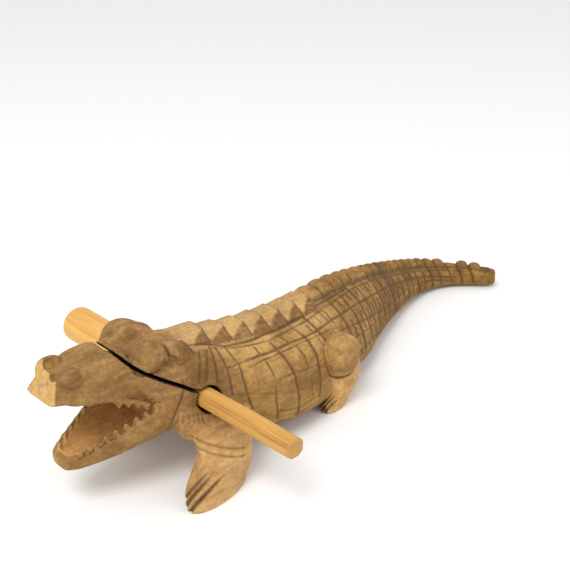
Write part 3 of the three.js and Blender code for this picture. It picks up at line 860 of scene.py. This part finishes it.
def beater(material):
    """An eight-sided whittled handle that swells into a round club, along the CAD beater's own line."""
    origin, axis, side, up, length = beater_line()
    shoulder_end = HANDLE_LENGTH + CLUB_SHOULDER
    ts = np.unique(np.concatenate([
        [0, 0.25, 0.6, 1.0, 1.4],
        np.linspace(1.8, HANDLE_LENGTH - 1, 130),
        np.linspace(HANDLE_LENGTH, shoulder_end, 14),
        np.linspace(shoulder_end + 1, length - CLUB_ROUNDING - 0.2, 40),
        length - CLUB_ROUNDING + CLUB_ROUNDING * np.sin(np.linspace(0, np.pi / 2, 12)),
    ]))
    phi = np.arange(BEATER_SIDES) / BEATER_SIDES * 2 * np.pi
    rings = []
    for t in ts:
        r = beater_radius(t, phi, length)
        rings.append(origin + axis * t + np.outer(r * np.cos(phi), side) + np.outer(r * np.sin(phi), up))
    points = np.concatenate(rings + [[origin - axis * 0.02], [origin + axis * length]])

    i = np.arange(BEATER_SIDES)
    j = (i + 1) % BEATER_SIDES
    last = (len(ts) - 1) * BEATER_SIDES
    faces = []
    for ring in range(0, last, BEATER_SIDES):
        over = ring + BEATER_SIDES
        faces += np.column_stack([ring + i, over + i, over + j, ring + j]).tolist()
    first_hub, last_hub = len(points) - 2, len(points) - 1
    faces += np.column_stack([np.full(BEATER_SIDES, first_hub), i, j]).tolist()
    faces += np.column_stack([np.full(BEATER_SIDES, last_hub), last + j, last + i]).tolist()
    mesh = bpy.data.meshes.new("beater_stick")
    mesh.from_pydata((points / MM).tolist(), [], faces)
    mesh.validate()
    mesh.polygons.foreach_set("use_smooth", np.ones(len(mesh.polygons), bool))
    mesh.materials.append(material)

    distance, across, rise = (points - origin) @ axis, (points - origin) @ side, (points - origin) @ up
    on_handle = fade(HANDLE_LENGTH + 4 - distance, 6)
    streak = np.exp(-(((rise - 2.9 + 0.5 * np.sin(distance * 0.07)) / 1.0) ** 2)) * (across < 0)
    set_attribute(mesh, "end_grain", distance < 1.35)
    set_attribute(mesh, "handle", on_handle)
    set_attribute(mesh, "streak", streak * on_handle)
    for name, values in (("stick_x", distance), ("stick_y", across), ("stick_z", rise)):
        set_attribute(mesh, name, values / MM)
    made = bpy.data.objects.new("beater_stick", mesh)
    bpy.context.scene.collection.objects.link(made)
    sharp = made.modifiers.new("smooth_by_angle", "EDGE_SPLIT")
    sharp.split_angle = math.radians(28)
    return made


# ---------------------------------------------------------------- materials
class Nodes:
    """Short helpers for wiring a node material."""

    def __init__(self, name):
        self.material = bpy.data.materials.new(name)
        self.material.use_nodes = True
        self.tree = self.material.node_tree
        self.shader = self.tree.nodes["Principled BSDF"]

    def add(self, kind, **values):
        node = self.tree.nodes.new(kind)
        for key, value in values.items():
            if key in node.inputs:
                node.inputs[key].default_value = value
            else:
                setattr(node, key, value)
        return node

    def link(self, a, b):
        self.tree.links.new(a, b)

    def attribute(self, name):
        return self.add("ShaderNodeAttribute", attribute_name=name).outputs["Fac"]

    def noise(self, vector, scale, detail=4.0, roughness=0.55, distortion=0.0):
        node = self.add("ShaderNodeTexNoise")
        node.inputs["Scale"].default_value = scale
        node.inputs["Detail"].default_value = detail
        node.inputs["Roughness"].default_value = roughness
        node.inputs["Distortion"].default_value = distortion
        self.link(vector, node.inputs["Vector"])
        return node.outputs["Fac"]

    def stretch(self, vector, scale, move=(0, 0, 0)):
        node = self.add("ShaderNodeMapping")
        node.inputs["Scale"].default_value = scale
        node.inputs["Location"].default_value = move
        self.link(vector, node.inputs["Vector"])
        return node.outputs["Vector"]

    def ramp(self, value, low, high, to_low=0.0, to_high=1.0):
        node = self.add("ShaderNodeMapRange")
        node.inputs["From Min"].default_value = low
        node.inputs["From Max"].default_value = high
        node.inputs["To Min"].default_value = to_low
        node.inputs["To Max"].default_value = to_high
        self.link(value, node.inputs["Value"])
        return node.outputs["Result"]

    def math(self, operation, a, b):
        node = self.add("ShaderNodeMath", operation=operation)
        for socket, value in zip(node.inputs, (a, b)):
            if isinstance(value, (int, float)):
                socket.default_value = value
            else:
                self.link(value, socket)
        return node.outputs[0]

    def mix(self, share, a, b, blend="MIX"):
        node = self.add("ShaderNodeMix", data_type="RGBA", blend_type=blend)
        for socket, value in ((node.inputs[0], share), (node.inputs[6], a), (node.inputs[7], b)):
            if isinstance(value, (int, float)):
                socket.default_value = value
            elif isinstance(value, tuple):
                socket.default_value = (*value, 1.0)
            else:
                self.link(value, socket)
        return node.outputs[2]

    def bump(self, height, strength, distance, before=None):
        node = self.add("ShaderNodeBump")
        node.inputs["Strength"].default_value = strength
        node.inputs["Distance"].default_value = distance
        self.link(height, node.inputs["Height"])
        if before is not None:
            self.link(before, node.inputs["Normal"])
        return node.outputs["Normal"]


def srgb(*channels):
    """A colour from 0 to 255 a channel, as the linear values that a shader takes."""
    shares = [c / 255 for c in channels]
    return tuple(v / 12.92 if v <= 0.04045 else ((v + 0.055) / 1.055) ** 2.4 for v in shares)


def carved_wood():
    """The carving: stained grain, with the tones and dark lines that its attributes place; the dark lines,
    the dark hole and slot, and the darker lower flanks are painted shade.
    """
    n = Nodes("carved_wood")
    place = n.add("ShaderNodeTexCoord").outputs["Object"]
    broad = n.noise(n.stretch(place, (20, 38, 38)), 1.0, 3.0, 0.6)
    patches = n.noise(place, 95.0, 3.0, 0.6, 0.6)
    streaks = n.noise(n.stretch(place, (22, 240, 240)), 1.0, 4.0, 0.62, 0.8)
    fine = n.noise(n.stretch(place, (110, 1500, 1500)), 1.0, 3.0, 0.6)
    mottle = n.noise(place, 420.0, 4.0, 0.65)
    colour = n.mix(n.ramp(broad, 0.36, 0.64), srgb(150, 107, 56), srgb(192, 149, 86))
    colour = n.mix(n.ramp(patches, 0.5, 0.72, 0.0, 0.6), colour, srgb(206, 172, 112))
    colour = n.mix(n.ramp(patches, 0.5, 0.3, 0.0, 0.5), colour, srgb(128, 102, 62))
    colour = n.mix(n.math("MULTIPLY", n.attribute("smoked"), 0.55), colour, srgb(126, 88, 48))
    colour = n.mix(n.math("MULTIPLY", n.attribute("pale"), 0.45), colour, srgb(208, 166, 106))
    tone = n.attribute("ridge_tone")
    colour = n.mix(n.ramp(tone, 0.0, 1.0, 0.0, 0.82), colour, srgb(110, 72, 34))
    colour = n.mix(n.ramp(tone, 0.0, -1.0, 0.0, 0.55), colour, srgb(192, 156, 104))
    colour = n.mix(n.math("MULTIPLY", n.attribute("end_grain"), 0.8), colour, srgb(200, 160, 98))
    colour = n.mix(n.math("MULTIPLY", n.attribute("mouth"), 0.75), colour, srgb(212, 160, 92))
    colour = n.mix(n.ramp(streaks, 0.48, 0.68, 0.0, 0.42), colour, srgb(118, 82, 44))
    colour = n.mix(n.ramp(streaks, 0.46, 0.3, 0.0, 0.22), colour, srgb(214, 178, 122))
    colour = n.mix(n.ramp(fine, 0.52, 0.75, 0.0, 0.35), colour, srgb(96, 66, 36))
    colour = n.mix(n.ramp(mottle, 0.5, 0.75, 0.0, 0.3), colour, srgb(216, 184, 132))
    colour = n.mix(n.ramp(mottle, 0.48, 0.28, 0.0, 0.3), colour, srgb(110, 78, 44))
    # Painted shade, darker lower down the flanks; the same multiply also darkens the neck, the tail and the
    # jaws.
    colour = n.mix(n.attribute("shade"), colour, (0.56, 0.51, 0.32), "MULTIPLY")
    colour = n.mix(n.math("MULTIPLY", n.attribute("stain"), 0.6), colour, srgb(84, 66, 46))
    # Painted shade in the knife's cuts and grooves, weakened in places by the mottle.
    dark = n.math("MULTIPLY", n.attribute("painted_groove_shade"), n.ramp(mottle, 0.25, 0.75, 1.0, 0.62))
    colour = n.mix(dark, colour, srgb(84, 60, 32))
    # Painted shade: the hole and the saw slot painted nearly black.
    colour = n.mix(n.math("MULTIPLY", n.attribute("painted_hole_shade"), 0.9), colour, srgb(30, 21, 13))
    n.link(colour, n.shader.inputs["Base Color"])
    n.link(n.ramp(streaks, 0.3, 0.8, 0.6, 0.85), n.shader.inputs["Roughness"])
    n.shader.inputs["Specular IOR Level"].default_value = 0.25
    facets = n.add("ShaderNodeTexVoronoi", feature="F1", distance="EUCLIDEAN")
    facets.inputs["Scale"].default_value = 1.0
    n.link(n.stretch(place, (110, 190, 190)), facets.inputs["Vector"])
    normal = n.bump(facets.outputs["Distance"], 0.45, 0.0016)
    normal = n.bump(patches, 0.5, 0.002, normal)
    normal = n.bump(streaks, 0.5, 0.0008, normal)
    normal = n.bump(fine, 0.35, 0.0003, normal)
    normal = n.bump(mottle, 0.45, 0.0005, normal)
    n.link(normal, n.shader.inputs["Normal"])
    return n.material


def pale_wood():
    """The beater: paler, straight-grained wood, with one brown streak along its handle."""
    n = Nodes("pale_wood")
    place = n.add("ShaderNodeCombineXYZ")
    for socket, name in zip(place.inputs, ("stick_x", "stick_y", "stick_z")):
        n.link(n.attribute(name), socket)
    place = place.outputs["Vector"]
    broad = n.noise(n.stretch(place, (14, 160, 160)), 1.0, 3.0)
    streaks = n.noise(n.stretch(place, (26, 900, 900)), 1.0, 4.0, 0.6, 0.3)
    specks = n.noise(n.stretch(place, (240, 1500, 1500)), 1.0, 2.0)
    colour = n.mix(n.ramp(broad, 0.35, 0.7), srgb(214, 158, 80), srgb(240, 190, 108))
    colour = n.mix(n.ramp(streaks, 0.48, 0.75, 0.0, 0.45), colour, srgb(178, 116, 52))
    colour = n.mix(n.ramp(specks, 0.6, 0.78, 0.0, 0.35), colour, srgb(150, 96, 44))
    colour = n.mix(1.0, colour, (0.9, 0.9, 0.78), "MULTIPLY")
    colour = n.mix(n.attribute("handle"), colour, (0.82, 0.78, 0.72), "MULTIPLY")
    brown = n.math("MULTIPLY", n.attribute("streak"), n.ramp(streaks, 0.4, 0.6, 0.45, 0.95))
    colour = n.mix(brown, colour, srgb(142, 94, 36))
    colour = n.mix(n.math("MULTIPLY", n.attribute("end_grain"), 0.7), colour, srgb(168, 126, 64))
    n.link(colour, n.shader.inputs["Base Color"])
    n.link(n.ramp(streaks, 0.3, 0.8, 0.42, 0.6), n.shader.inputs["Roughness"])
    n.shader.inputs["Specular IOR Level"].default_value = 0.4
    normal = n.bump(streaks, 0.25, 0.0004)
    normal = n.bump(broad, 0.2, 0.001, normal)
    n.link(normal, n.shader.inputs["Normal"])
    return n.material


def floor_paint():
    n = Nodes("floor_paint")
    n.shader.inputs["Base Color"].default_value = (0.86, 0.86, 0.855, 1)
    n.shader.inputs["Roughness"].default_value = 0.9
    return n.material


# ---------------------------------------------------------------- camera, lights, floor
# The camera's azimuth, pitch and roll in degrees, its lens in mm, and its place from the head's origin in mm.
CAMERA_TURN = (-43.372, 23.385, 0.598)
CAMERA_SENSOR, CAMERA_LENS = 36.0, 63.16
CAMERA_PLACE = (-268.56, -368.69, 295.89)
AIM = (0, 0, 0.03)  # where the lights point, in metres
FLOOR_REACH = 6.0  # metres


def camera():
    azimuth, pitch, roll = (math.radians(v) for v in CAMERA_TURN)
    level = math.cos(pitch)
    forward = Vector((-math.sin(azimuth) * level, math.cos(azimuth) * level, -math.sin(pitch)))
    right = forward.cross(Vector((0, 0, 1))).normalized()
    up = right.cross(forward)
    x = right * math.cos(roll) + up * math.sin(roll)
    y = up * math.cos(roll) - right * math.sin(roll)
    data = bpy.data.cameras.new("camera")
    data.sensor_width, data.lens = CAMERA_SENSOR, CAMERA_LENS
    made = bpy.data.objects.new("camera", data)
    bpy.context.scene.collection.objects.link(made)
    turn = Matrix((x, y, -forward)).transposed().to_4x4()
    position = Vector((ORIGIN + np.array(CAMERA_PLACE)) / MM)
    made.matrix_world = Matrix.Translation(position) @ turn
    data.clip_start, data.clip_end = 0.01, 20
    bpy.context.scene.camera = made


def lights():
    def area(name, place, size, energy):
        data = bpy.data.lights.new(name, "AREA")
        data.shape, data.size, data.energy = "DISK", size, energy
        made = bpy.data.objects.new(name, data)
        bpy.context.scene.collection.objects.link(made)
        made.location = place
        made.rotation_mode = "QUATERNION"
        made.rotation_quaternion = (Vector(AIM) - Vector(place)).to_track_quat("-Z", "Y")

    area("key", (-0.9, -0.35, 1.2), 0.7, 12)
    area("fill", (0.6, -1.3, 0.7), 1.2, 4)
    world = bpy.data.worlds.new("world")
    world.use_nodes = True
    sky = world.node_tree.nodes["Background"]
    sky.inputs["Color"].default_value = (1, 1, 1, 1)
    sky.inputs["Strength"].default_value = 0.92
    bpy.context.scene.world = world


def floor():
    mesh = bpy.data.meshes.new("floor")
    corners = [(x * FLOOR_REACH, y * FLOOR_REACH, 0) for x, y in ((-1, -1), (1, -1), (1, 1), (-1, 1))]
    mesh.from_pydata(corners, [], [(0, 1, 2, 3)])
    mesh.materials.append(floor_paint())
    made = bpy.data.objects.new("floor", mesh)
    bpy.context.scene.collection.objects.link(made)


camera()
lights()
floor()
bpy.context.scene.view_settings.view_transform = "Standard"

croc = carved_crocodile(carved_wood())
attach(croc, "crocodile")
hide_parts("carved_crocodile")

stick = beater(pale_wood())
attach(stick, "stick")
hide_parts("beater")
